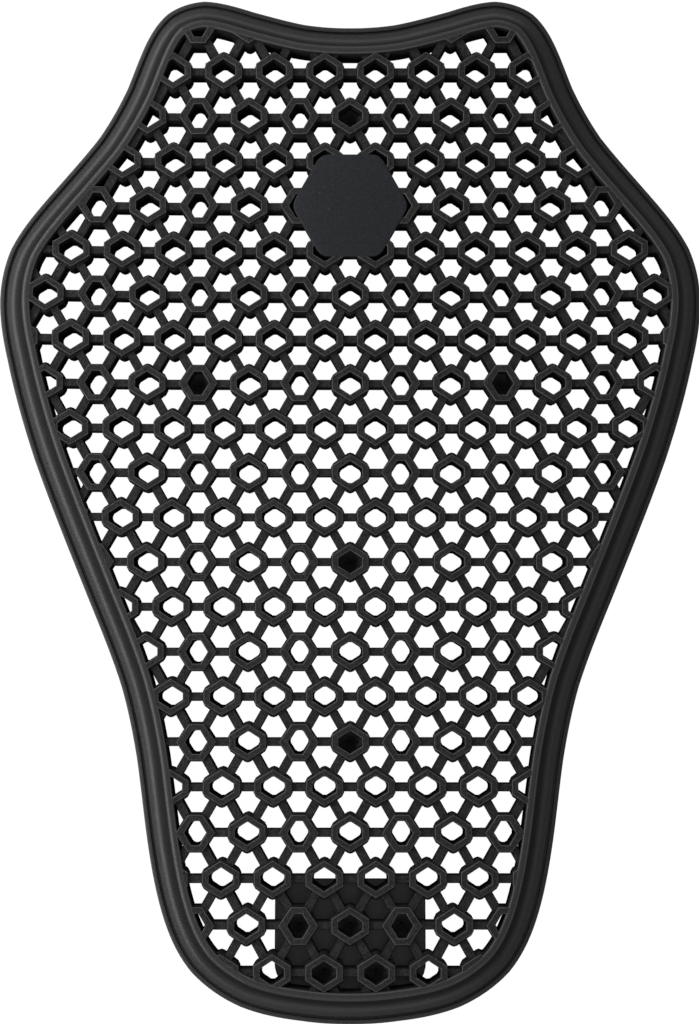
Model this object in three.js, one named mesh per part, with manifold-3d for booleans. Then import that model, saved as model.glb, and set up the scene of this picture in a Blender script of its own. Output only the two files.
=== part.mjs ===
// Back protector insert: a dished elastomer panel of hexagonal tubes and ribs inside a moulded rim.
// Millimetres, +Z up. The part lies on its belly with its hollow, body-side face up.
// +Y points to the neck end and +X to the right. Z = 0 is the surface it lies on.

import * as THREE from 'three';
import { mergeGeometries, mergeVertices } from 'three/addons/utils/BufferGeometryUtils.js';
import Module from 'manifold-3d';

const wasm = await Module();
wasm.setup();

// Right half of the outline, from the neck notch round the shoulder and waist to the tail.
const HALF_OUTLINE = [
  { halfWidth: 0.0, y: 207.5 },
  { halfWidth: 20.0, y: 208.9 },
  { halfWidth: 42.0, y: 214.2 },
  { halfWidth: 63.0, y: 218.6 },
  { halfWidth: 79.0, y: 213.2 },
  { halfWidth: 88.5, y: 200.5 },
  { halfWidth: 96.5, y: 181.5 },
  { halfWidth: 108.5, y: 160.5 },
  { halfWidth: 131.4, y: 133.0 },
  { halfWidth: 146.5, y: 111.2 },
  { halfWidth: 151.1, y: 89.0 },
  { halfWidth: 147.7, y: 63.0 },
  { halfWidth: 135.8, y: 20.0 },
  { halfWidth: 112.2, y: -40.4 },
  { halfWidth: 98.0, y: -77.5 },
  { halfWidth: 91.1, y: -109.0 },
  { halfWidth: 86.4, y: -142.9 },
  { halfWidth: 78.7, y: -176.3 },
  { halfWidth: 67.0, y: -197.4 },
  { halfWidth: 46.0, y: -211.6 },
  { halfWidth: 21.0, y: -217.2 },
  { halfWidth: 0.0, y: -218.6 },
];
const STATIONS_PER_SPAN = 2;

// The dish: a level belly, from which the ends and the sides rise.
const BELLY_HALF_LENGTH = 80;
const BELLY_HALF_WIDTH = 50;
const END_REACH = 140;
const END_RISE = 14;
const SIDE_REACH = 100;
const SIDE_RISE = 8;

// Panel and grid of tubes. Odd rows alternate wide and tall tubes, even rows are all wide.
const THICKNESS = 15;
const COLUMN_PITCH = 21.76;
const ROW_PITCH = 19.15;
const FIRST_ROW_Y = 186.5;
const FIRST_ROW = -1;
const LAST_ROW = 20;
const COLUMN_REACH = 8;
const RIB_WIDTH = 6.2;
const WIDE_BORE = { halfWidth: 5.2, halfHeight: 4.9 };
const TALL_BORE = { halfWidth: 4.4, halfHeight: 5.2 };
const BLIND_FLOOR = 2.5;
const BLIND_CELLS = [
  { row: 1, column: 0 },
  { row: 7, column: -3 },
  { row: 7, column: 3 },
  { row: 11, column: 0 },
  { row: 15, column: 0 },
];
const CUT_MARGIN = 1;
const LEAST_CLIPPED_SHARE = 0.42;

// Rim section, from the outer foot over the flange, groove, cove and lip to the inner foot.
const RIM_WIDTH = 13.6;
const RIM_SECTION = [
  { inward: 0.0, height: 0.0 },
  { inward: 0.0, height: 3.2 },
  { inward: 2.6, height: 3.2 },
  { inward: 7.4, height: 4.5 },
  { inward: 9.2, height: 8.0 },
  { inward: 10.6, height: THICKNESS },
  { inward: RIM_WIDTH, height: THICKNESS },
  { inward: RIM_WIDTH, height: 0.0 },
];
const EDGE_WALL = 1.2;
const CLEARANCE = 0.3;

// Bare hexagonal plate, flush with the tube fronts, centred on one cell of an odd row.
const LABEL_ROW = 3;
const LABEL_HALF_WIDTH = 25.4;
const LABEL_HALF_HEIGHT = 22;
const LABEL_TOP_HALF_EDGE = 12.7;
const LABEL_THICKNESS = 3;
const LABEL_SEAT_DEPTH = 3.7;

// Thin rectangular plate behind the last rows at the tail.
const BACK_PLATE_WIDTH = 64;
const BACK_PLATE_TOP_Y = -159;
const BACK_PLATE_TAIL_Y = -206;
const BACK_PLATE_THICKNESS = 1.8;
const BACK_PLATE_SEGMENTS = 5;

const elastomer = (lightness) =>
  new THREE.MeshStandardMaterial({
    color: new THREE.Color(lightness, lightness, lightness * 1.04),
    roughness: 0.62,
    metalness: 0,
  });

function dishRise(x, y) {
  const along = Math.max(0, Math.abs(y) - BELLY_HALF_LENGTH) / END_REACH;
  const across = Math.max(0, Math.abs(x) - BELLY_HALF_WIDTH) / SIDE_REACH;
  return END_RISE * along ** 2 + SIDE_RISE * across ** 2;
}

function raiseByDish(geometry) {
  const position = geometry.attributes.position;
  for (let i = 0; i < position.count; i++) {
    position.setZ(i, position.getZ(i) + dishRise(position.getX(i), position.getY(i)));
  }
  geometry.computeVertexNormals();
  return geometry;
}

function toSolid(geometry) {
  const bare = geometry.clone();
  bare.deleteAttribute('normal');
  bare.deleteAttribute('uv');
  const merged = mergeVertices(bare, 1e-4);
  return new wasm.Manifold(
    new wasm.Mesh({
      numProp: 3,
      vertProperties: new Float32Array(merged.attributes.position.array),
      triVerts: new Uint32Array(merged.index.array),
    }),
  );
}

function toGeometry(solid) {
  const mesh = solid.getMesh();
  const geometry = new THREE.BufferGeometry();
  geometry.setAttribute('position', new THREE.BufferAttribute(mesh.vertProperties, 3));
  geometry.setIndex(new THREE.BufferAttribute(mesh.triVerts, 1));
  return geometry;
}

function prism(corners, low, high) {
  const geometry = new THREE.ExtrudeGeometry(new THREE.Shape(corners), {
    depth: high - low,
    bevelEnabled: false,
  });
  return geometry.translate(0, 0, low);
}

// Points round the whole outline, each with its unit normal into the panel.
function outlineStations() {
  const right = HALF_OUTLINE.map((row) => new THREE.Vector3(row.halfWidth, row.y, 0));
  const left = right
    .slice(1, -1)
    .reverse()
    .map((point) => new THREE.Vector3(-point.x, point.y, 0));
  const knots = [...right, ...left];
  const curve = new THREE.CatmullRomCurve3(knots, true, 'centripetal');
  const count = knots.length * STATIONS_PER_SPAN;
  return Array.from({ length: count }, (_, i) => {
    const tangent = curve.getTangent(i / count);
    return { point: curve.getPoint(i / count), inward: new THREE.Vector2(tangent.y, -tangent.x) };
  });
}

function insetLoop(stations, distance) {
  return stations.map(
    ({ point, inward }) => new THREE.Vector2(point.x + inward.x * distance, point.y + inward.y * distance),
  );
}

function isInside(point, loop) {
  let inside = false;
  loop.forEach((a, i) => {
    const b = loop[(i + 1) % loop.length];
    const crosses = a.y > point.y !== b.y > point.y;
    if (crosses && point.x < a.x + ((point.y - a.y) / (b.y - a.y)) * (b.x - a.x)) inside = !inside;
  });
  return inside;
}

// A ring of section points swept round the stations, closed on itself both ways.
function sweptRim(stations) {
  const sides = RIM_SECTION.length;
  const positions = stations.flatMap(({ point, inward }) =>
    RIM_SECTION.flatMap((row) => [
      point.x + inward.x * row.inward,
      point.y + inward.y * row.inward,
      row.height,
    ]),
  );
  const indices = [];
  for (let i = 0; i < stations.length; i++) {
    const next = (i + 1) % stations.length;
    for (let j = 0; j < sides; j++) {
      const above = (j + 1) % sides;
      const a = i * sides + j;
      const b = next * sides + j;
      const c = next * sides + above;
      const d = i * sides + above;
      indices.push(a, c, b, a, d, c);
    }
  }
  const geometry = new THREE.BufferGeometry();
  geometry.setAttribute('position', new THREE.Float32BufferAttribute(positions, 3));
  geometry.setIndex(indices);
  return raiseByDish(geometry);
}

const isTall = (row, column) => row % 2 !== 0 && column % 2 !== 0;

function cellCentre(row, column) {
  const shift = row % 2 === 0 ? 0.5 : 0;
  return new THREE.Vector2((column + shift) * COLUMN_PITCH, FIRST_ROW_Y - row * ROW_PITCH);
}

// A bore is a diamond, wider or taller by the kind of tube.
function boreCorners(centre, size) {
  return [
    new THREE.Vector2(centre.x + size.halfWidth, centre.y),
    new THREE.Vector2(centre.x, centre.y + size.halfHeight),
    new THREE.Vector2(centre.x - size.halfWidth, centre.y),
    new THREE.Vector2(centre.x, centre.y - size.halfHeight),
  ];
}

// The gap between three tubes: the triangle of their centres, set in by half a rib on each side.
function gapCorners(centres) {
  const middle = centres.reduce((sum, c) => sum.add(c), new THREE.Vector2()).divideScalar(3);
  const reach = COLUMN_PITCH / Math.sqrt(3);
  const share = 1 - RIB_WIDTH / reach;
  return centres.map((c) => middle.clone().lerp(c, share));
}

function labelCorners(grow) {
  const centre = cellCentre(LABEL_ROW, 0);
  const slope = (LABEL_HALF_HEIGHT + grow) / LABEL_HALF_HEIGHT;
  const wide = LABEL_HALF_WIDTH * slope;
  const narrow = LABEL_TOP_HALF_EDGE * slope;
  const high = LABEL_HALF_HEIGHT * slope;
  return [
    [wide, 0],
    [narrow, high],
    [-narrow, high],
    [-wide, 0],
    [-narrow, -high],
    [narrow, -high],
  ].map(([x, y]) => new THREE.Vector2(centre.x + x, centre.y + y));
}

// Every opening of the net as { corners, low }: tube bores, and the gaps above and below each rib of a row.
function netOpenings() {
  const openings = [];
  for (let row = FIRST_ROW; row <= LAST_ROW; row++) {
    for (let column = -COLUMN_REACH; column <= COLUMN_REACH; column++) {
      const centre = cellCentre(row, column);
      const next = cellCentre(row, column + 1);
      const between = (centre.x + next.x) / 2;
      const above = new THREE.Vector2(between, centre.y + ROW_PITCH);
      const below = new THREE.Vector2(between, centre.y - ROW_PITCH);
      const blind = BLIND_CELLS.some((cell) => cell.row === row && cell.column === column);
      openings.push({
        corners: boreCorners(centre, isTall(row, column) ? TALL_BORE : WIDE_BORE),
        low: blind ? BLIND_FLOOR : -CUT_MARGIN,
      });
      openings.push({ corners: gapCorners([centre, next, above]), low: -CUT_MARGIN });
      openings.push({ corners: gapCorners([next, centre, below]), low: -CUT_MARGIN });
    }
  }
  return openings;
}

// The openings that lie in the panel; those at the edge are clipped to the edge wall.
function openingCutters(edgeLoop) {
  const top = THICKNESS + CUT_MARGIN;
  const edge = toSolid(prism(edgeLoop, -2 * CUT_MARGIN, top + CUT_MARGIN));
  const cutters = [];
  for (const { corners, low } of netOpenings()) {
    const insideCount = corners.filter((corner) => isInside(corner, edgeLoop)).length;
    if (insideCount === 0) continue;
    const cutter = prism(corners, low, top);
    if (insideCount === corners.length) {
      cutters.push(cutter.deleteAttribute('normal').deleteAttribute('uv'));
      continue;
    }
    const whole = toSolid(cutter);
    const clipped = whole.intersect(edge);
    if (clipped.volume() > LEAST_CLIPPED_SHARE * whole.volume()) {
      cutters.push(toGeometry(clipped).toNonIndexed());
    }
  }
  return toSolid(mergeGeometries(cutters));
}

function latticePanel(stations) {
  const outer = insetLoop(stations, RIM_WIDTH + CLEARANCE);
  const edge = insetLoop(stations, RIM_WIDTH + CLEARANCE + EDGE_WALL);
  const seatFloor = THICKNESS - LABEL_SEAT_DEPTH;
  const labelSeat = toSolid(prism(labelCorners(CLEARANCE), seatFloor, THICKNESS + CUT_MARGIN));
  const panel = toSolid(prism(outer, 0, THICKNESS))
    .subtract(openingCutters(edge))
    .subtract(labelSeat);
  return raiseByDish(toGeometry(panel));
}

// The label plate stays flat: it tilts with the dish at its centre and isn't bent.
function labelPlate() {
  const centre = cellCentre(LABEL_ROW, 0);
  const step = 1;
  const slope = (dishRise(0, centre.y + step) - dishRise(0, centre.y - step)) / (2 * step);
  const geometry = prism(labelCorners(0), THICKNESS - LABEL_THICKNESS, THICKNESS);
  const position = geometry.attributes.position;
  for (let i = 0; i < position.count; i++) {
    const rise = dishRise(0, centre.y) + slope * (position.getY(i) - centre.y);
    position.setZ(i, position.getZ(i) + rise);
  }
  return geometry;
}

function backPlate() {
  const length = BACK_PLATE_TOP_Y - BACK_PLATE_TAIL_Y;
  const geometry = new THREE.BoxGeometry(
    BACK_PLATE_WIDTH,
    length,
    BACK_PLATE_THICKNESS,
    1,
    BACK_PLATE_SEGMENTS,
    1,
  );
  const middleY = (BACK_PLATE_TOP_Y + BACK_PLATE_TAIL_Y) / 2;
  geometry.translate(0, middleY, -CLEARANCE - BACK_PLATE_THICKNESS / 2);
  return raiseByDish(geometry);
}

function named(name, geometry, lightness) {
  const mesh = new THREE.Mesh(geometry, elastomer(lightness));
  mesh.name = name;
  return mesh;
}

const stations = outlineStations();
const protector = new THREE.Group();
protector.add(named('rim', sweptRim(stations), 0.035));
protector.add(named('lattice', latticePanel(stations), 0.03));
protector.add(named('label_plate', labelPlate(), 0.03));
protector.add(named('back_plate', backPlate(), 0.026));

export default protector;
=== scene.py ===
import math

import bmesh
import bpy
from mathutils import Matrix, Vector


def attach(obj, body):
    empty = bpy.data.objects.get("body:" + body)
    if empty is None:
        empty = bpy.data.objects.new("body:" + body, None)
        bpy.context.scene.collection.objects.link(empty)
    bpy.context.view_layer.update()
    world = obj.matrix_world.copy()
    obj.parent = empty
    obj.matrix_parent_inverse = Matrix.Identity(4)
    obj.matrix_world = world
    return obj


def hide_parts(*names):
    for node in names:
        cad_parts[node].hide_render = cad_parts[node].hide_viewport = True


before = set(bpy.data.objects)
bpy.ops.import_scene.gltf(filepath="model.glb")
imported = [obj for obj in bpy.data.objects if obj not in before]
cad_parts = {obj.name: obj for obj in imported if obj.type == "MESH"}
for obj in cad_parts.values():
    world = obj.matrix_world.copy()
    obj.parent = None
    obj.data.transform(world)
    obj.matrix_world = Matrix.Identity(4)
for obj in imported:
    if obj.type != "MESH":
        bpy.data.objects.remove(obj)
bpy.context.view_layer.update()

# Sizes below are in millimetres, and MM turns them into the scene's metres.
MM = 0.001
BODY = "root"

# Right half of the outline, from the neck notch round the shoulder and waist to the tail: half width, y.
HALF_OUTLINE = [
    (0.0, 207.5),
    (20.0, 208.9),
    (42.0, 214.2),
    (63.0, 218.6),
    (79.0, 213.2),
    (88.5, 200.5),
    (96.5, 181.5),
    (108.5, 160.5),
    (131.4, 133.0),
    (146.5, 111.2),
    (151.1, 89.0),
    (147.7, 63.0),
    (135.8, 20.0),
    (112.2, -40.4),
    (98.0, -77.5),
    (91.1, -109.0),
    (86.4, -142.9),
    (78.7, -176.3),
    (67.0, -197.4),
    (46.0, -211.6),
    (21.0, -217.2),
    (0.0, -218.6),
]
STATIONS_PER_SPAN = 8

# The dish: a level belly, from which the ends and the sides rise.
BELLY_HALF_LENGTH = 80
BELLY_HALF_WIDTH = 50
END_REACH = 140
END_RISE = 14
SIDE_REACH = 100
SIDE_RISE = 8

# Grid of tubes. Odd rows alternate wide and tall tubes, even rows are all wide.
COLUMN_PITCH = 21.76
ROW_PITCH = 19.15
FIRST_ROW_Y = 186.5
FIRST_ROW = -1
LAST_ROW = 20
COLUMN_REACH = 8
LABEL_ROW = 3
LABEL_Y = FIRST_ROW_Y - LABEL_ROW * ROW_PITCH
UNDER_LABEL_REACH = 1.1 * COLUMN_PITCH
CLOSED_CELLS = {(1, 0), (7, -3), (7, 3), (11, 0), (15, 0), (19, -1), (19, 0), (19, 1), (20, -1), (20, 0)}

# Levels above the underside of the panel.
LIP_LEVEL = 15.0
COLLAR_LEVEL = 14.9
SHOULDER_LEVEL = 12.9
SHOULDER_EDGE_LEVEL = 12.0
RIB_LEVEL = 12.45
RIB_UNDERSIDE = 0.35

# Wide tube: a hexagon with a point up and a point down, and upright sides.
WIDE_BODY = {"half_width": 8.35, "half_height": 9.3, "half_side": 3.45}
WIDE_COLLAR = {"half_width": 7.82, "half_height": 7.72, "half_side": 2.92}
WIDE_MOUTH = {"half_width": 5.1, "half_height": 4.97, "half_side": 1.7}
WIDE_BACK_BORE = {"half_width": 4.5, "half_height": 4.25, "half_side": 1.35}
WIDE_BODY_ROUND = 2.2
WIDE_BODY_POINTS = (3, 2, 2)

# Tall tube: a hexagon with level top and bottom edges, and points at the sides.
TALL_BODY = {"half_width": 9.0, "half_height": 8.35, "half_edge": 3.5}
TALL_COLLAR = {"half_width": 8.32, "half_height": 7.67, "half_edge": 3.12}
TALL_MOUTH = {"half_width": 4.72, "half_height": 5.05, "half_edge": 1.65}
TALL_BACK_BORE = {"half_width": 4.15, "half_height": 4.5, "half_edge": 1.3}
TALL_BODY_ROUND = 0.9
TALL_BODY_POINTS = (2, 2, 1)

# Shared by both kinds of tube.
BORE_ROUND = 1.3
BORE_POINTS = (2,)
COLLAR_BEVEL = 0.3
COLLAR_BEVEL_DROP = 0.25
BODY_BEVEL = 0.3
BODY_BEVEL_DROP = 0.9
BODY_DRAFT = 0.3

# Ribs run from wall to wall, along the rows and on both diagonals, and narrow to the back.
ROW_RIB = {"front_width": 3.6, "back_width": 3.0}
DIAGONAL_RIB = {"front_width": 4.0, "back_width": 3.4}
RIB_BEVEL = 0.35
RIB_BEVEL_DROP = 0.9
ROW_RIB_END = 5.7
DIAGONAL_RIB_END = 6.4

# About the panel's middle the net leans: its back sits nearer the neck than its front.
LEAN = 0.7
LEAN_MIDDLE_Y = -30
LEAN_REACH = 110

# Floor of a closed tube: a hollow cone with a small pit in its middle.
FLOOR_UNDERSIDE = 0.4
FLOOR_RADIUS = 5.2
FLOOR_EDGE_LEVEL = 6.5
PIT_RADIUS = 0.7
PIT_EDGE_LEVEL = 2.0
PIT_LEVEL = 1.2
FLOOR_SIDES = 12

# Rim section, from the outer foot over the flange and the groove to the cove: inward, height.
RIM_FLANGE = [
    (0.6, 0.0),
    (0.15, 0.15),
    (0.0, 0.6),
    (0.0, 2.6),
    (0.12, 2.95),
    (0.45, 3.1),
    (1.75, 3.1),
    (1.95, 2.95),
    (2.05, 1.6),
    (2.85, 1.6),
    (2.95, 2.95),
    (3.15, 3.35),
]
# The cove is a quarter of an ellipse.
COVE_START = (4.25, 3.5)
COVE_WIDTH = 6.2
COVE_HEIGHT = 9.85
COVE_STEPS = 10
# From the cove's top over the lip to the inner foot: inward, height.
RIM_LIP = [
    (10.55, 13.9),
    (10.75, 14.28),
    (11.05, 14.55),
    (11.45, 14.74),
    (11.9, 14.85),
    (13.3, LIP_LEVEL),
    (13.75, 14.8),
    (14.0, 14.3),
    (14.25, 0.5),
    (14.1, 0.15),
    (13.75, 0.0),
]
LIP_EDGE_DROP = 1.0

# The net ends under the lip. The shape that trims it there reaches past it above and below.
NET_INSET = 12.6
CUTTER_LOW = -5
CUTTER_HIGH = 30

# Painted highlight: upward-slanted bevels, lip edges and the floors of closed tubes get a paler colour.
# Bounds of the upward part of their normals, and the rim's share.
HIGHLIGHT_FACING = (0.3, 0.95)
RIM_HIGHLIGHT_SHARE = 0.5

# Bare hexagonal plate over one cell of an odd row and the near half of its six neighbours.
LABEL_HALF_WIDTH = 25.4
LABEL_HALF_HEIGHT = 22.0
LABEL_HALF_EDGE = 12.7
LABEL_ROUND = 6.0
LABEL_CORNER_POINTS = 6
LABEL_UNDERSIDE = 12.0
LABEL_LEVEL = 15.35
LABEL_SEAT_INSET = 0.4
# Its soft upper edge, from the side to the top: inset, drop.
LABEL_EDGE = [(0.0, 0.6), (0.1, 0.25), (0.35, 0.05), (0.7, 0.0)]

# Thin plate behind the last rows at the tail. It leaves the bores at its upper corners open.
BACK_PLATE_HALF_WIDTH = 32
BACK_PLATE_TOP_Y = -159
BACK_PLATE_TAIL_Y = -206
BACK_PLATE_UNDERSIDE = -2.0
BACK_PLATE_LEVEL = 0.2
BACK_PLATE_ROUND = 0.4
BACK_PLATE_CUT_CORNER = 5.4
BACK_PLATE_TAIL_ROUND = 12
BACK_PLATE_CORNER_POINTS = 8
BACK_PLATE_STEP = 4

# Camera: distance and tilt of the photograph, with its picture centre on the panel's middle.
CAMERA_PLACE = (-0.3, -79.0, 1005.1)
CAMERA_AIM = (-0.3, -2.6, 8.0)
CAMERA_LENS = 81.8

# Floor and lights are in metres and watts.
FLOOR_SIZE = 24
FLOOR_DROP = 0.0002

# Light tent: sine of the height above the horizon, and the brightness there.
TENT_SHADES = [(0.0, 0.45), (0.15, 0.45), (0.35, 0.27), (0.93, 0.27), (1.0, 0.62)]
TENT_STRENGTH = 1.0
TENT_LEAN = 0.1

# Soft lights: place, aim, size and power.
SOFT_LIGHTS = {
    "left_light": ((-0.38, 0.06, 0.385), (-0.05, 0.02, 0), (0.8, 0.22), 4.1),
    "right_light": ((0.7, 0, 0.5), (0.1, 0, 0), (0.9, 0.5), 0.9),
    "tail_end_light": ((0, -0.65, 0.65), (0, -0.1, 0), (0.9, 0.7), 2.5),
    "neck_end_light": ((0, 0.75, 0.6), (0, 0.1, 0), (0.9, 0.5), 3.0),
}

# Elastomers: dark and light tone, tint, gloss, least and most roughness, height of the grain.
ELASTOMERS = {
    "smooth_elastomer": ((0.01, 0.016), (1, 1, 1.05), 0.3, (0.36, 0.44), 0.07),
    "grained_elastomer": ((0.003, 0.0165), (1, 1, 1.05), 0.14, (0.42, 0.54), 0.3),
    "label_elastomer": ((0.006, 0.012), (0.92, 1, 1.22), 0.16, (0.5, 0.6), 0.12),
    "back_elastomer": ((0.05, 0.07), (1, 0.95, 1.03), 0.6, (0.35, 0.45), 0.08),
}
TONE_STOPS = (0.34, 0.66)
SPECK_SIZE = 0.045
SPECK_COLOUR = (0.06, 0.06, 0.062, 1)
# Paler colour of the painted highlight on slanted bevels, lip edges and closed floors.
PAINTED_HIGHLIGHT_COLOUR = (0.05, 0.05, 0.051, 1)

SMOOTH_ANGLE = math.radians(32)

# Inputs of the node trees that lean the net and raise the dish, in metres.
DISH_SIZES = {
    "Belly half length": BELLY_HALF_LENGTH * MM,
    "Belly half width": BELLY_HALF_WIDTH * MM,
    "End reach": END_REACH * MM,
    "End rise": END_RISE * MM,
    "Side reach": SIDE_REACH * MM,
    "Side rise": SIDE_RISE * MM,
}
LEAN_SIZES = {
    "Lean": LEAN * MM,
    "Lean middle": LEAN_MIDDLE_Y * MM,
    "Lean reach": LEAN_REACH * MM,
    "Lip level": LIP_LEVEL * MM,
}


def dish_rise(x, y):
    along = max(0.0, abs(y) - BELLY_HALF_LENGTH) / END_REACH
    across = max(0.0, abs(x) - BELLY_HALF_WIDTH) / SIDE_REACH
    return END_RISE * along ** 2 + SIDE_RISE * across ** 2


def spline_point(knots, t):
    """Point on the centripetal Catmull-Rom span between the second and third of four knots."""
    times = [0.0]
    for a, b in zip(knots, knots[1:]):
        times.append(times[-1] + (b - a).length ** 0.5)
    at = times[1] + t * (times[2] - times[1])
    points = list(knots)
    for level in (1, 2, 3):
        points = [
            p + (q - p) * ((at - times[i]) / (times[i + level] - times[i]))
            for i, (p, q) in enumerate(zip(points, points[1:]))
        ]
    return points[0]


def outline_points():
    """Closed clockwise loop round the whole outline."""
    right = [Vector((x, y)) for x, y in HALF_OUTLINE]
    left = [Vector((-p.x, p.y)) for p in reversed(right[1:-1])]
    knots = right + left
    count = len(knots)
    loop = []
    for i in range(count):
        four = [knots[(i + k) % count] for k in (-1, 0, 1, 2)]
        loop += [spline_point(four, s / STATIONS_PER_SPAN) for s in range(STATIONS_PER_SPAN)]
    return loop


def inset_loop(loop, distance):
    count = len(loop)
    moved = []
    for i, point in enumerate(loop):
        tangent = (loop[(i + 1) % count] - loop[i - 1]).normalized()
        moved.append(point + Vector((tangent.y, -tangent.x)) * distance)
    return moved


def is_inside(point, loop):
    inside = False
    for a, b in zip(loop, loop[1:] + loop[:1]):
        crosses = (a.y > point.y) != (b.y > point.y)
        if crosses and point.x < a.x + (point.y - a.y) / (b.y - a.y) * (b.x - a.x):
            inside = not inside
    return inside


def mesh_object(name, points, faces, edges=()):
    """New object from points in millimetres, with its faces turned outwards."""
    mesh = bpy.data.meshes.new(name)
    mesh.from_pydata([Vector(p) * MM for p in points], list(edges), faces)
    if faces:
        shell = bmesh.new()
        shell.from_mesh(mesh)
        bmesh.ops.recalc_face_normals(shell, faces=shell.faces)
        shell.to_mesh(mesh)
        shell.free()
    piece = bpy.data.objects.new(name, mesh)
    bpy.context.collection.objects.link(piece)
    return piece


def rounded_corner(before, corner, after, radius, count):
    """Points of an arc that rounds one corner of a polygon."""
    to_before = (before - corner).normalized()
    to_after = (after - corner).normalized()
    half_angle = to_before.angle(to_after) / 2
    centre = corner + (to_before + to_after).normalized() * (radius / math.sin(half_angle))
    reach = radius / math.tan(half_angle)
    start = corner + to_before * reach - centre
    end = corner + to_after * reach - centre
    if count == 1:
        return [centre + (corner - centre).normalized() * radius]
    arc = [start.lerp(end, i / (count - 1)).normalized() * radius for i in range(count)]
    return [centre + spoke for spoke in arc]


def rounded_polygon(corners, radius, counts):
    """One list of points for each corner of the polygon, rounded with the given number of points."""
    groups = []
    for i, corner in enumerate(corners):
        after = corners[(i + 1) % len(corners)]
        groups.append(rounded_corner(corners[i - 1], corner, after, radius, counts[i % len(counts)]))
    return groups


def wide_corners(half_width, half_height, half_side):
    """Corners of a wide tube's hexagon, anticlockwise from its top point."""
    return [
        Vector((0, half_height)),
        Vector((-half_width, half_side)),
        Vector((-half_width, -half_side)),
        Vector((0, -half_height)),
        Vector((half_width, -half_side)),
        Vector((half_width, half_side)),
    ]


def tall_corners(half_width, half_height, half_edge):
    """Corners of a tall tube's or the label plate's hexagon, anticlockwise from its upper right corner."""
    return [
        Vector((half_edge, half_height)),
        Vector((-half_edge, half_height)),
        Vector((-half_width, 0)),
        Vector((-half_edge, -half_height)),
        Vector((half_edge, -half_height)),
        Vector((half_width, 0)),
    ]


def shrunk(size, amount):
    return {name: value - amount for name, value in size.items()}


def stitched(rings):
    """Points and faces of a closed wall through rings of corner groups, and back to the first ring."""
    points = []
    numbered = []
    for groups, height in rings:
        ring = []
        for group in groups:
            ring.append(list(range(len(points), len(points) + len(group))))
            points += [(p.x, p.y, height) for p in group]
        numbered.append(ring)
    faces = []
    for low, high in zip(numbered, numbered[1:] + numbered[:1]):
        corners = len(low)
        for k in range(corners):
            after = (k + 1) % corners
            faces.append((low[k][-1], low[after][0], high[after][0], high[k][-1]))
            faces += corner_faces(low[k], high[k])
    return points, faces


def corner_faces(low, high):
    """Faces between two corner groups that may differ in their number of points."""
    if len(low) == len(high):
        return [(low[i], low[i + 1], high[i + 1], high[i]) for i in range(len(low) - 1)]
    faces = []
    i = j = 0
    while i < len(low) - 1 or j < len(high) - 1:
        ahead_low = (i + 1) / len(low)
        ahead_high = (j + 1) / len(high)
        if j == len(high) - 1 or (i < len(low) - 1 and ahead_low <= ahead_high):
            faces.append((low[i], low[i + 1], high[j]))
            i += 1
        else:
            faces.append((low[i], high[j + 1], high[j]))
            j += 1
    return faces


def tube(name, corners, body, collar, mouth, back_bore, body_round, body_points):
    """A tube: rounded body up to its shoulder, crisp collar above, and a bore that narrows to the back."""
    def rounded_ring(size):
        return rounded_polygon(corners(**size), body_round, body_points)

    def crisp_ring(size):
        return [[corner] for corner in corners(**size)]

    foot = rounded_ring(shrunk(body, BODY_DRAFT))
    body_wall = rounded_ring(body)
    shoulder = rounded_ring(shrunk(body, BODY_BEVEL))
    collar_wall = crisp_ring(collar)
    collar_front = crisp_ring(shrunk(collar, COLLAR_BEVEL))
    mouth_front = crisp_ring(shrunk(mouth, -COLLAR_BEVEL))
    mouth_wall = crisp_ring(mouth)
    bore_foot = rounded_polygon(corners(**back_bore), BORE_ROUND, BORE_POINTS)
    points, faces = stitched([
        (foot, 0.0),
        (body_wall, SHOULDER_EDGE_LEVEL - BODY_BEVEL_DROP),
        (shoulder, SHOULDER_EDGE_LEVEL),
        (collar_wall, SHOULDER_LEVEL),
        (collar_wall, COLLAR_LEVEL - COLLAR_BEVEL_DROP),
        (collar_front, COLLAR_LEVEL),
        (mouth_front, COLLAR_LEVEL),
        (mouth_wall, COLLAR_LEVEL - COLLAR_BEVEL_DROP),
        (bore_foot, 0.0),
    ])
    piece = mesh_object(name, points, faces)
    # Painted highlight on the collar's outer and mouth bevels.
    mark_painted_highlight(piece, COLLAR_LEVEL - COLLAR_BEVEL_DROP, 1.0)
    return piece


def mark_painted_highlight(piece, level, share):
    """Paints a highlight: gives the slanted upward faces above this level of the panel a share of the
    material's paler highlight colour.
    """
    marks = piece.data.attributes.new("painted_highlight", "FLOAT", "FACE")
    least, most = HIGHLIGHT_FACING
    for face in piece.data.polygons:
        middle = face.center / MM
        if middle.z - dish_rise(middle.x, middle.y) > level and least < face.normal.z < most:
            marks.data[face.index].value = share


def wide_tube():
    return tube(
        "wide_tube", wide_corners, WIDE_BODY, WIDE_COLLAR, WIDE_MOUTH, WIDE_BACK_BORE,
        WIDE_BODY_ROUND, WIDE_BODY_POINTS,
    )


def tall_tube():
    return tube(
        "tall_tube", tall_corners, TALL_BODY, TALL_COLLAR, TALL_MOUTH, TALL_BACK_BORE,
        TALL_BODY_ROUND, TALL_BODY_POINTS,
    )


def rib(name, length, front_width, back_width):
    """A straight bar along X that narrows to the back, with its two front edges bevelled."""
    front = front_width / 2
    back = back_width / 2
    section = [
        (-back, RIB_UNDERSIDE),
        (back, RIB_UNDERSIDE),
        (front, RIB_LEVEL - RIB_BEVEL_DROP),
        (front - RIB_BEVEL, RIB_LEVEL),
        (RIB_BEVEL - front, RIB_LEVEL),
        (-front, RIB_LEVEL - RIB_BEVEL_DROP),
    ]
    sides = len(section)
    points = [(x, y, z) for x in (-length / 2, length / 2) for y, z in section]
    faces = [(i, (i + 1) % sides, sides + (i + 1) % sides, sides + i) for i in range(sides)]
    faces += [tuple(range(sides)), tuple(range(sides, 2 * sides))]
    return mesh_object(name, points, faces)


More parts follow.
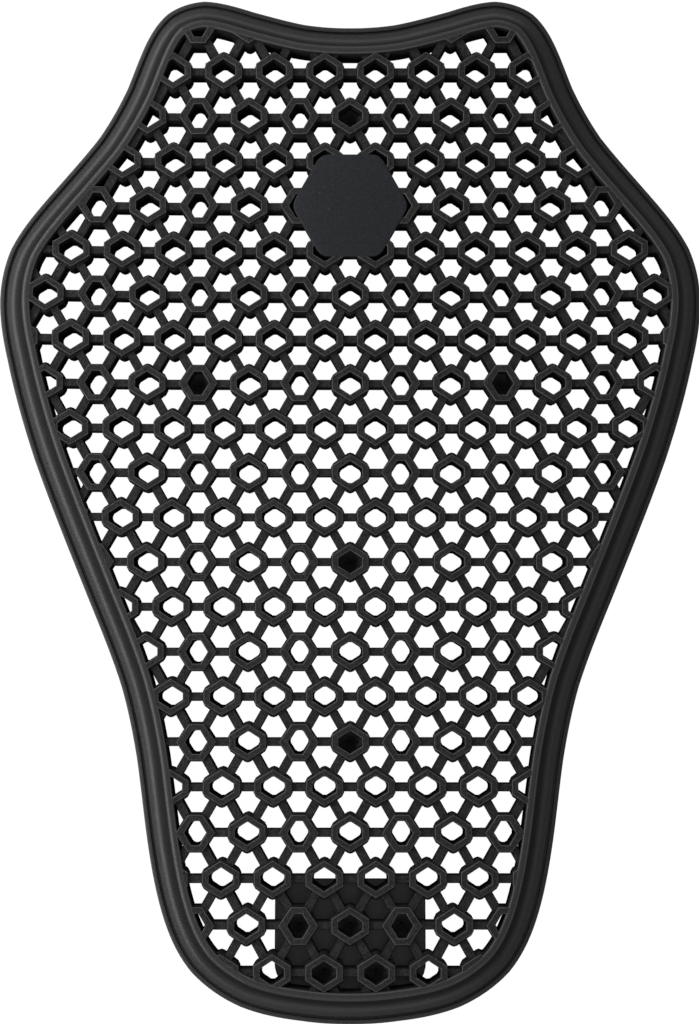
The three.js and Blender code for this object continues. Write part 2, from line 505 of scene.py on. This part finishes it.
def closed_floor():
    """Floor of a closed tube: a hollow cone with its edge in the tube's wall, and a pit in its middle."""
    profile = [
        (FLOOR_RADIUS, FLOOR_UNDERSIDE),
        (FLOOR_RADIUS, FLOOR_EDGE_LEVEL),
        (PIT_RADIUS, PIT_EDGE_LEVEL),
        (PIT_RADIUS, PIT_LEVEL),
    ]
    rings = []
    for radius, height in profile:
        angles = [2 * math.pi * i / FLOOR_SIDES for i in range(FLOOR_SIDES)]
        rings.append(([Vector((radius * math.cos(a), radius * math.sin(a))) for a in angles], height))
    points, faces = capped_rings(rings)
    floor = mesh_object("closed_floor", points, faces)
    # Painted highlight on the slanted faces of the closed floor's cone.
    mark_painted_highlight(floor, PIT_LEVEL, 1.0)
    return floor


def prism(name, loop, low, high):
    count = len(loop)
    points = [(p.x, p.y, z) for z in (low, high) for p in loop]
    faces = [(i, (i + 1) % count, count + (i + 1) % count, count + i) for i in range(count)]
    faces += [tuple(range(count)), tuple(range(count, 2 * count))]
    return mesh_object(name, points, faces)


def capped_rings(rings):
    """Points and faces of a closed shell through rings of equal count, capped at both ends."""
    count = len(rings[0][0])
    points = [(p.x, p.y, height) for loop, height in rings for p in loop]
    faces = []
    for level in range(len(rings) - 1):
        for i in range(count):
            a = level * count + i
            b = level * count + (i + 1) % count
            faces.append((a, b, b + count, a + count))
    faces += [tuple(range(count)), tuple(range(len(points) - count, len(points)))]
    return points, faces


def label_loop(inset):
    """Loop of the label plate's rounded hexagon, in place on the panel."""
    wide = LABEL_HALF_WIDTH * (1 - inset / LABEL_HALF_HEIGHT)
    high = LABEL_HALF_HEIGHT - inset
    edge = LABEL_HALF_EDGE * (1 - inset / LABEL_HALF_HEIGHT)
    centre = Vector((0, LABEL_Y))
    groups = rounded_polygon(tall_corners(wide, high, edge), LABEL_ROUND, (LABEL_CORNER_POINTS,))
    return [centre + p for group in groups for p in group]


def cell_points(loop):
    """Centres of all cells that reach into the loop, each with its kind: tall or wide, closed or open."""
    reach = COLUMN_PITCH / 2
    label_cell = Vector((0, LABEL_Y))
    cells = []
    for row in range(FIRST_ROW, LAST_ROW + 1):
        odd = row % 2 != 0
        for column in range(-COLUMN_REACH, COLUMN_REACH + 1):
            x = (column if odd else column + 0.5) * COLUMN_PITCH
            centre = Vector((x, FIRST_ROW_Y - row * ROW_PITCH))
            near = any((point - centre).length < reach for point in loop)
            if not near and not is_inside(centre, loop):
                continue
            under_label = (centre - label_cell).length < UNDER_LABEL_REACH
            cells.append({
                "centre": centre,
                "tall": odd and column % 2 != 0,
                "closed": (row, column) in CLOSED_CELLS or under_label,
            })
    return cells


def cell_cloud(loop):
    """Loose points at the cell centres that carry the kind of each cell."""
    cells = cell_points(loop)
    cloud = mesh_object("tube_net", [(c["centre"].x, c["centre"].y, 0) for c in cells], [])
    for kind in ("tall", "closed"):
        values = cloud.data.attributes.new(kind, "BOOLEAN", "POINT")
        for i, cell in enumerate(cells):
            values.data[i].value = cell[kind]
    return cloud


def new_tree(name, sockets):
    """Geometry node tree with one geometry input and the named inputs, and its two end nodes."""
    tree = bpy.data.node_groups.new(name, "GeometryNodeTree")
    tree.interface.new_socket("Geometry", in_out="INPUT", socket_type="NodeSocketGeometry")
    tree.interface.new_socket("Geometry", in_out="OUTPUT", socket_type="NodeSocketGeometry")
    for socket, kind in sockets.items():
        tree.interface.new_socket(socket, in_out="INPUT", socket_type=f"NodeSocket{kind}")
    return tree, tree.nodes.new("NodeGroupInput"), tree.nodes.new("NodeGroupOutput")


def add_node(tree, kind, links=None, values=None, **settings):
    """New node with its settings, its input values and the sockets that feed its inputs."""
    node = tree.nodes.new(kind)
    for setting, value in settings.items():
        setattr(node, setting, value)
    for socket, value in (values or {}).items():
        node.inputs[socket].default_value = value
    for socket, source in (links or {}).items():
        for one in source if isinstance(source, list) else [source]:
            tree.links.new(one, node.inputs[socket])
    return node


def maths(tree, operation, a, b):
    """Output of one math node whose two inputs are sockets or numbers."""
    node = tree.nodes.new("ShaderNodeMath")
    node.operation = operation
    for socket, source in zip(node.inputs, (a, b)):
        if isinstance(source, (int, float)):
            socket.default_value = source
        else:
            tree.links.new(source, socket)
    return node.outputs[0]


def lean_back(tree, given, geometry):
    """Shifts the net's back towards the neck and its front away from it, and returns the result."""
    position = add_node(tree, "GeometryNodeInputPosition")
    axes = add_node(tree, "ShaderNodeSeparateXYZ", {0: position.outputs[0]})
    away = maths(tree, "SUBTRACT", axes.outputs["Y"], given.outputs["Lean middle"])
    share = maths(tree, "DIVIDE", away, given.outputs["Lean reach"])
    near = maths(tree, "MAXIMUM", maths(tree, "SUBTRACT", 1, maths(tree, "MULTIPLY", share, share)), 0)
    height = maths(tree, "DIVIDE", axes.outputs["Z"], given.outputs["Lip level"])
    depth = maths(tree, "SUBTRACT", 0.5, height)
    shift = maths(tree, "MULTIPLY", maths(tree, "MULTIPLY", near, depth), given.outputs["Lean"])
    offset = add_node(tree, "ShaderNodeCombineXYZ", {"Y": shift})
    moved = add_node(tree, "GeometryNodeSetPosition", {"Geometry": geometry, "Offset": offset.outputs[0]})
    return moved.outputs[0]


def raise_by_dish(tree, given, geometry):
    """Lifts every point of the geometry by the dish's rise at its place, and returns the result."""
    position = add_node(tree, "GeometryNodeInputPosition")
    axes = add_node(tree, "ShaderNodeSeparateXYZ", {0: position.outputs[0]})

    def rise(axis, flat, reach, height):
        size = maths(tree, "ABSOLUTE", axes.outputs[axis], 0)
        past = maths(tree, "MAXIMUM", maths(tree, "SUBTRACT", size, given.outputs[flat]), 0)
        share = maths(tree, "DIVIDE", past, given.outputs[reach])
        return maths(tree, "MULTIPLY", maths(tree, "POWER", share, 2), given.outputs[height])

    end = rise("Y", "Belly half length", "End reach", "End rise")
    side = rise("X", "Belly half width", "Side reach", "Side rise")
    lift = add_node(tree, "ShaderNodeCombineXYZ", {"Z": maths(tree, "ADD", end, side)})
    moved = add_node(tree, "GeometryNodeSetPosition", {"Geometry": geometry, "Offset": lift.outputs[0]})
    return moved.outputs[0]


def finish_tree(tree, given, end, geometry):
    realized = add_node(tree, "GeometryNodeRealizeInstances", {0: geometry})
    coloured = add_node(
        tree, "GeometryNodeSetMaterial",
        {"Geometry": realized.outputs[0], "Material": given.outputs["Material"]},
    )
    tree.links.new(coloured.outputs[0], end.inputs[0])


def source(tree, given, name):
    """Geometry of the object given under this name."""
    info = add_node(tree, "GeometryNodeObjectInfo", {"Object": given.outputs[name]})
    return info.outputs["Geometry"]


def baked(host, tree, values):
    """Runs the tree on the host with the given inputs and leaves its result as the host's plain mesh."""
    modifier = host.modifiers.new(tree.name, "NODES")
    modifier.node_group = tree
    for item in tree.interface.items_tree:
        if item.in_out == "INPUT" and item.name in values:
            modifier[item.identifier] = values[item.name]
    graph = bpy.context.evaluated_depsgraph_get()
    mesh = bpy.data.meshes.new_from_object(host.evaluated_get(graph))
    host.modifiers.remove(modifier)
    host.data = mesh
    return host


def smooth_by_angle(piece):
    piece.data.shade_smooth()
    piece.data.set_sharp_from_angle(angle=SMOOTH_ANGLE)
    return piece


def drop(*pieces):
    for piece in pieces:
        bpy.data.objects.remove(piece)


def tube_net_tree():
    """Tubes on the cell points and ribs between them, joined, leaned, cut at rim and label, and dished."""
    objects = ("Wide tube", "Tall tube", "Row rib", "Diagonal rib", "Closed floor", "Edge", "Label seat")
    sockets = {name: "Object" for name in objects}
    sockets |= {"Column pitch": "Float", "Row pitch": "Float", "Material": "Material"}
    sockets |= {name: "Float" for name in DISH_SIZES | LEAN_SIZES}
    tree, given, end = new_tree("tube_net", sockets)
    cells = given.outputs["Geometry"]

    def kind(name):
        flag = add_node(
            tree, "GeometryNodeInputNamedAttribute", values={"Name": name}, data_type="BOOLEAN",
        )
        return flag.outputs["Attribute"]

    def placed(points, shape, selection=None, rotation=None):
        links = {"Points": points, "Instance": source(tree, given, shape)}
        if selection is not None:
            links["Selection"] = selection
        if rotation is not None:
            links["Rotation"] = rotation
        return add_node(tree, "GeometryNodeInstanceOnPoints", links).outputs[0]

    tall = kind("tall")
    wide = add_node(tree, "FunctionNodeBooleanMath", {0: tall}, operation="NOT").outputs[0]
    tubes = add_node(
        tree, "GeometryNodeJoinGeometry",
        {0: [placed(cells, "Wide tube", wide), placed(cells, "Tall tube", tall)]},
    )

    bars = [placed(cells, "Closed floor", kind("closed"))]
    half_pitch = maths(tree, "MULTIPLY", given.outputs["Column pitch"], 0.5)
    quarter_pitch = maths(tree, "MULTIPLY", given.outputs["Column pitch"], 0.25)
    half_row = maths(tree, "MULTIPLY", given.outputs["Row pitch"], -0.5)
    back_quarter = maths(tree, "MULTIPLY", quarter_pitch, -1)
    for shape, step_x, step_y in (
        ("Row rib", half_pitch, 0),
        ("Diagonal rib", quarter_pitch, half_row),
        ("Diagonal rib", back_quarter, half_row),
    ):
        step = add_node(tree, "ShaderNodeCombineXYZ", {"X": step_x})
        if step_y:
            tree.links.new(step_y, step.inputs["Y"])
        between = add_node(tree, "GeometryNodeSetPosition", {"Geometry": cells, "Offset": step.outputs[0]})
        turn = add_node(
            tree, "FunctionNodeAlignRotationToVector", {"Vector": step.outputs[0]},
            axis="X", pivot_axis="Z",
        )
        bars.append(placed(between.outputs[0], shape, rotation=turn.outputs[0]))
    bars = add_node(tree, "GeometryNodeJoinGeometry", {0: bars})

    def cut(operation, first, second):
        links = {"Mesh 2": [first, second]}
        if operation == "DIFFERENCE":
            links = {"Mesh 1": first, "Mesh 2": second}
        node = add_node(tree, "GeometryNodeMeshBoolean", links, operation=operation, solver="MANIFOLD")
        return node.outputs[0]

    whole_tubes = add_node(tree, "GeometryNodeRealizeInstances", {0: tubes.outputs[0]}).outputs[0]
    whole_bars = add_node(tree, "GeometryNodeRealizeInstances", {0: bars.outputs[0]}).outputs[0]
    net = lean_back(tree, given, cut("UNION", whole_tubes, whole_bars))
    net = cut("INTERSECT", net, source(tree, given, "Edge"))
    net = cut("DIFFERENCE", net, source(tree, given, "Label seat"))
    finish_tree(tree, given, end, raise_by_dish(tree, given, net))
    return tree


def tube_net(outline, material):
    loop = inset_loop(outline, NET_INSET)
    diagonal = math.hypot(COLUMN_PITCH / 2, ROW_PITCH)
    shapes = {
        "Wide tube": wide_tube(),
        "Tall tube": tall_tube(),
        "Row rib": rib("row_rib", COLUMN_PITCH - 2 * ROW_RIB_END, **ROW_RIB),
        "Diagonal rib": rib("diagonal_rib", diagonal - 2 * DIAGONAL_RIB_END, **DIAGONAL_RIB),
        "Closed floor": closed_floor(),
        "Edge": prism("edge", loop, CUTTER_LOW, CUTTER_HIGH),
        "Label seat": prism("label_seat", label_loop(LABEL_SEAT_INSET), LABEL_UNDERSIDE, CUTTER_HIGH),
    }
    pitches = {"Column pitch": COLUMN_PITCH * MM, "Row pitch": ROW_PITCH * MM}
    values = shapes | DISH_SIZES | LEAN_SIZES | pitches | {"Material": material}
    net = baked(cell_cloud(loop), tube_net_tree(), values)
    drop(*shapes.values())
    return smooth_by_angle(net)


def rim_tree():
    """The rim's section swept round the outline and dished."""
    sockets = {"Section": "Object", "Material": "Material"} | {name: "Float" for name in DISH_SIZES}
    tree, given, end = new_tree("moulded_rim", sockets)
    path = add_node(tree, "GeometryNodeMeshToCurve", {"Mesh": given.outputs["Geometry"]})
    upright = add_node(tree, "GeometryNodeSetCurveNormal", {"Curve": path.outputs[0]}, mode="Z_UP")
    section = add_node(tree, "GeometryNodeMeshToCurve", {"Mesh": source(tree, given, "Section")})
    swept = add_node(
        tree, "GeometryNodeCurveToMesh",
        {"Curve": upright.outputs[0], "Profile Curve": section.outputs[0]},
    )
    finish_tree(tree, given, end, raise_by_dish(tree, given, swept.outputs[0]))
    return tree


def loop_edges(count):
    return [(i, (i + 1) % count) for i in range(count)]


def rim_section():
    """Points of the rim's section, from the outer foot to the inner foot: inward, height."""
    cove = []
    for step in range(COVE_STEPS + 1):
        turn = math.pi / 2 * step / COVE_STEPS
        inward = COVE_START[0] + COVE_WIDTH * math.sin(turn)
        height = COVE_START[1] + COVE_HEIGHT * (1 - math.cos(turn))
        cove.append((inward, height))
    return RIM_FLANGE + cove + RIM_LIP


def moulded_rim(outline, material):
    path = mesh_object("moulded_rim", [(p.x, p.y, 0) for p in outline], [], loop_edges(len(outline)))
    section_points = [(inward, -height, 0) for inward, height in rim_section()]
    section = mesh_object("rim_section", section_points, [], loop_edges(len(section_points)))
    rim = baked(path, rim_tree(), {"Section": section, "Material": material} | DISH_SIZES)
    drop(section)
    # Painted highlight, at half share, on the lip's slanted shoulder and inner edge.
    mark_painted_highlight(rim, LIP_LEVEL - LIP_EDGE_DROP, RIM_HIGHLIGHT_SHARE)
    return smooth_by_angle(rim)


def label_plate(material):
    """A flat plate with rounded corners and a soft upper edge, tilted with the dish at its centre."""
    rings = [(label_loop(0.0), LABEL_UNDERSIDE)]
    rings += [(label_loop(inset), LABEL_LEVEL - drop_below) for inset, drop_below in LABEL_EDGE]
    points, faces = capped_rings(rings)
    rise = dish_rise(0, LABEL_Y)
    slope = dish_rise(0, LABEL_Y + 0.5) - dish_rise(0, LABEL_Y - 0.5)
    points = [(x, y, z + rise + slope * (y - LABEL_Y)) for x, y, z in points]
    plate = mesh_object("bare_label_plate", points, faces)
    plate.data.materials.append(material)
    return smooth_by_angle(plate)


def back_plate_outline(inset):
    """Anticlockwise loop of the back plate: cut corners at the top, round corners at the tail."""
    wide = BACK_PLATE_HALF_WIDTH - inset
    top = BACK_PLATE_TOP_Y - inset
    tail = BACK_PLATE_TAIL_Y + inset
    cut = BACK_PLATE_CUT_CORNER
    corners = [
        Vector((wide, top - cut)),
        Vector((wide - cut, top)),
        Vector((cut - wide, top)),
        Vector((-wide, top - cut)),
        Vector((-wide, tail)),
        Vector((wide, tail)),
    ]
    loop = corners[:4]
    radius = BACK_PLATE_TAIL_ROUND - inset
    for i in (4, 5):
        after = corners[(i + 1) % len(corners)]
        loop += rounded_corner(corners[i - 1], corners[i], after, radius, BACK_PLATE_CORNER_POINTS)
    return loop


def back_plate(material):
    """A thin plate with soft edges that follows the dish."""
    rows = [
        (BACK_PLATE_ROUND, BACK_PLATE_UNDERSIDE),
        (0.0, BACK_PLATE_UNDERSIDE + BACK_PLATE_ROUND),
        (0.0, BACK_PLATE_LEVEL - BACK_PLATE_ROUND),
        (BACK_PLATE_ROUND, BACK_PLATE_LEVEL),
    ]
    points, faces = capped_rings([(back_plate_outline(inset), height) for inset, height in rows])
    plate = mesh_object("tail_back_plate", points, faces)
    shell = bmesh.new()
    shell.from_mesh(plate.data)
    for y in range(BACK_PLATE_TAIL_Y, BACK_PLATE_TOP_Y, BACK_PLATE_STEP):
        everything = shell.verts[:] + shell.edges[:] + shell.faces[:]
        bmesh.ops.bisect_plane(shell, geom=everything, plane_co=(0, y * MM, 0), plane_no=(0, 1, 0))
    for vert in shell.verts:
        vert.co.z += dish_rise(vert.co.x / MM, vert.co.y / MM) * MM
    shell.to_mesh(plate.data)
    shell.free()
    plate.data.materials.append(material)
    return smooth_by_angle(plate)


def elastomer(name, tones, tint, gloss, roughness, grain):
    """Black moulded elastomer: speckled tone, patchy roughness, fine grain and a few specks of dust."""
    material = bpy.data.materials.new(name)
    material.use_nodes = True
    tree = material.node_tree
    shader = tree.nodes["Principled BSDF"]
    shader.inputs["Specular IOR Level"].default_value = gloss
    place = add_node(tree, "ShaderNodeTexCoord").outputs["Object"]

    cloud = add_node(
        tree, "ShaderNodeTexNoise", {"Vector": place}, {"Scale": 900, "Detail": 3, "Roughness": 0.7},
    )
    tone = add_node(tree, "ShaderNodeValToRGB", {"Fac": cloud.outputs["Fac"]})
    for element, value, at in zip(tone.color_ramp.elements, tones, TONE_STOPS):
        element.color = (value * tint[0], value * tint[1], value * tint[2], 1)
        element.position = at
    speck = add_node(
        tree, "ShaderNodeTexVoronoi", {"Vector": place}, {"Scale": 260}, distance="EUCLIDEAN", feature="F1",
    )
    is_speck = maths(tree, "LESS_THAN", speck.outputs["Distance"], SPECK_SIZE)
    coloured = add_node(
        tree, "ShaderNodeMix", {"Factor": is_speck, 6: tone.outputs["Color"]}, data_type="RGBA",
    )
    coloured.inputs[7].default_value = SPECK_COLOUR
    # Painted highlight: faces marked by the highlight mask are mixed towards the paler highlight colour.
    painted_highlight = add_node(tree, "ShaderNodeAttribute", attribute_name="painted_highlight")
    highlighted = add_node(
        tree, "ShaderNodeMix", {"Factor": painted_highlight.outputs["Fac"], 6: coloured.outputs[2]}, data_type="RGBA",
    )
    highlighted.inputs[7].default_value = PAINTED_HIGHLIGHT_COLOUR
    tree.links.new(highlighted.outputs[2], shader.inputs["Base Color"])

    patch = add_node(tree, "ShaderNodeTexNoise", {"Vector": place}, {"Scale": 140, "Detail": 4})
    rough = add_node(tree, "ShaderNodeMapRange", {"Value": patch.outputs["Fac"]})
    rough.inputs["To Min"].default_value, rough.inputs["To Max"].default_value = roughness
    tree.links.new(rough.outputs[0], shader.inputs["Roughness"])

    fine = add_node(
        tree, "ShaderNodeTexNoise", {"Vector": place}, {"Scale": 1100, "Detail": 2, "Roughness": 0.6},
    )
    bump = add_node(
        tree, "ShaderNodeBump", {"Height": fine.outputs["Fac"]}, {"Strength": 1.0, "Distance": grain * MM},
    )
    tree.links.new(bump.outputs[0], shader.inputs["Normal"])
    return material


def pale_floor():
    """Plain white floor, lit from behind like a light table, that throws no light back on the part."""
    bpy.ops.mesh.primitive_plane_add(size=FLOOR_SIZE, location=(0, 0, -FLOOR_DROP))
    floor = bpy.context.object
    floor.name = "floor"
    material = bpy.data.materials.new("pale_floor")
    material.use_nodes = True
    tree = material.node_tree
    shader = tree.nodes["Principled BSDF"]
    shader.inputs["Base Color"].default_value = (0.03, 0.03, 0.03, 1)
    shader.inputs["Roughness"].default_value = 0.9
    shader.inputs["Specular IOR Level"].default_value = 0.0
    shader.inputs["Emission Color"].default_value = (1, 1, 1, 1)
    ray = add_node(tree, "ShaderNodeLightPath")
    tree.links.new(ray.outputs["Is Camera Ray"], shader.inputs["Emission Strength"])
    floor.data.materials.append(material)


def soft_light(name, place, aim, size, power):
    lamp = bpy.data.lights.new(name, "AREA")
    lamp.shape = "RECTANGLE"
    lamp.size, lamp.size_y = size
    lamp.energy = power
    light = bpy.data.objects.new(name, lamp)
    light.location = place
    light.visible_camera = False
    light.rotation_euler = (Vector(aim) - Vector(place)).to_track_quat("-Z", "Y").to_euler()
    bpy.context.collection.objects.link(light)


def light_tent():
    """Soft light from all sides, strongest straight above, and a little stronger at the tail end."""
    world = bpy.data.worlds.new("light_tent")
    world.use_nodes = True
    tree = world.node_tree
    backdrop = tree.nodes["Background"]
    way = add_node(tree, "ShaderNodeTexCoord").outputs["Generated"]
    axes = add_node(tree, "ShaderNodeSeparateXYZ", {0: way})
    shade = add_node(tree, "ShaderNodeValToRGB", {"Fac": axes.outputs["Z"]})
    ramp = shade.color_ramp
    while len(ramp.elements) < len(TENT_SHADES):
        ramp.elements.new(1.0)
    for element, (height, level) in zip(ramp.elements, TENT_SHADES):
        element.position = height
        element.color = (level, level, level, 1)
    ends = {
        "From Min": -1,
        "From Max": 1,
        "To Min": TENT_STRENGTH * (1 + TENT_LEAN),
        "To Max": TENT_STRENGTH * (1 - TENT_LEAN),
    }
    lean = add_node(tree, "ShaderNodeMapRange", {"Value": axes.outputs["Y"]}, ends)
    tree.links.new(shade.outputs["Color"], backdrop.inputs["Color"])
    tree.links.new(lean.outputs[0], backdrop.inputs["Strength"])
    bpy.context.scene.world = world


def studio():
    pale_floor()
    light_tent()
    for name, settings in SOFT_LIGHTS.items():
        soft_light(name, *settings)
    bpy.context.scene.view_settings.view_transform = "Standard"


def photo_camera():
    place = Vector(CAMERA_PLACE) * MM
    aim = Vector(CAMERA_AIM) * MM
    lens = bpy.data.cameras.new("camera")
    lens.lens = CAMERA_LENS
    lens.sensor_width = 36
    lens.clip_start = 0.01
    camera = bpy.data.objects.new("camera", lens)
    camera.location = place
    camera.rotation_euler = (aim - place).to_track_quat("-Z", "Y").to_euler()
    bpy.context.collection.objects.link(camera)
    bpy.context.scene.camera = camera


def dress():
    photo_camera()
    materials = {name: elastomer(name, *settings) for name, settings in ELASTOMERS.items()}
    outline = outline_points()
    pieces = [
        (moulded_rim(outline, materials["smooth_elastomer"]), "rim", "smooth_elastomer"),
        (tube_net(outline, materials["grained_elastomer"]), "lattice", "grained_elastomer"),
        (label_plate(materials["label_elastomer"]), "label_plate", "grained_elastomer"),
        (back_plate(materials["back_elastomer"]), "back_plate", "grained_elastomer"),
    ]
    for piece, node, slot in pieces:
        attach(piece, BODY)
        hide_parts(node)
    studio()


dress()
bpy.context.view_layer.update()
